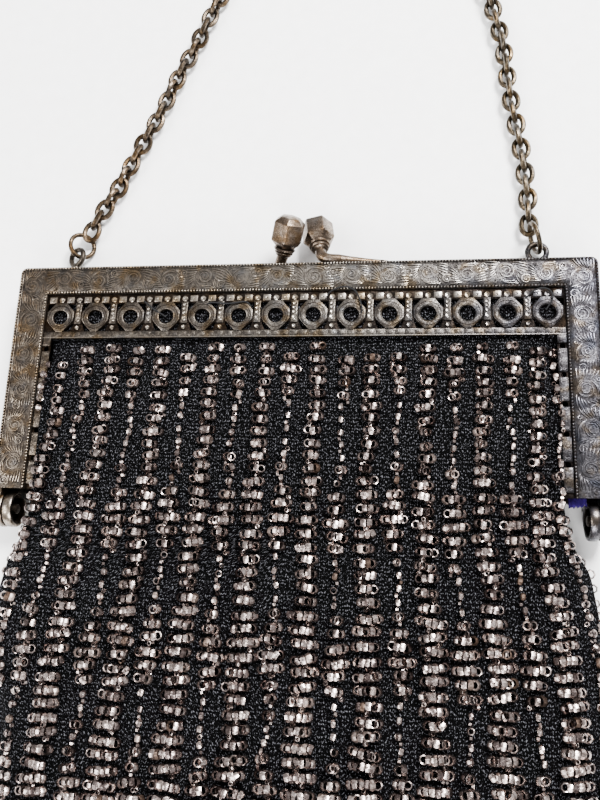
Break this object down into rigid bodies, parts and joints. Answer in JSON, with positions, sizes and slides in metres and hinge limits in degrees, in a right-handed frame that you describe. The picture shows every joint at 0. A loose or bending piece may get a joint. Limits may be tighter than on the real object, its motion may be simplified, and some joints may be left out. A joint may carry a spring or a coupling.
{
  "type": "beaded purse",
  "caption": "Knitted evening purse covered in steel seed beads, on a hinged pierced metal frame with a kiss-lock clasp and a carrying chain.",
  "frame": {"origin": "middle of the top band, on the back half's flat back face, which the purse rests on", "axes": "+X to the right seen from the front, +Y from the bag towards the chain, +Z out of the front face"},
  "size_m": [0.1316, 0.3159, 0.014],
  "materials": {
    "frame_metal": "tarnished silver alloy, stamped and pierced",
    "pin_metal": "dark worn steel",
    "clasp_metal": "faceted, rubbed bright on its edges",
    "chain_metal": "drawn wire with a brown tarnish",
    "bag_knit": "black silk knit under steel beads",
    "lining_cloth": "violet lining cloth"
  },
  "bodies": {
    "root": {"front_frame": "frame_metal", "back_frame": "frame_metal", "hinge_pin_left": "pin_metal", "hinge_pin_right": "pin_metal", "clasp_knob_front": "clasp_metal", "clasp_knob_back": "clasp_metal", "chain_eye_left": "chain_metal", "chain_eye_right": "chain_metal", "jump_ring_left": "chain_metal", "jump_ring_right": "chain_metal", "chain": "chain_metal", "bag": "bag_knit", "lining_tab": "lining_cloth"}
  },
  "joints": []
}
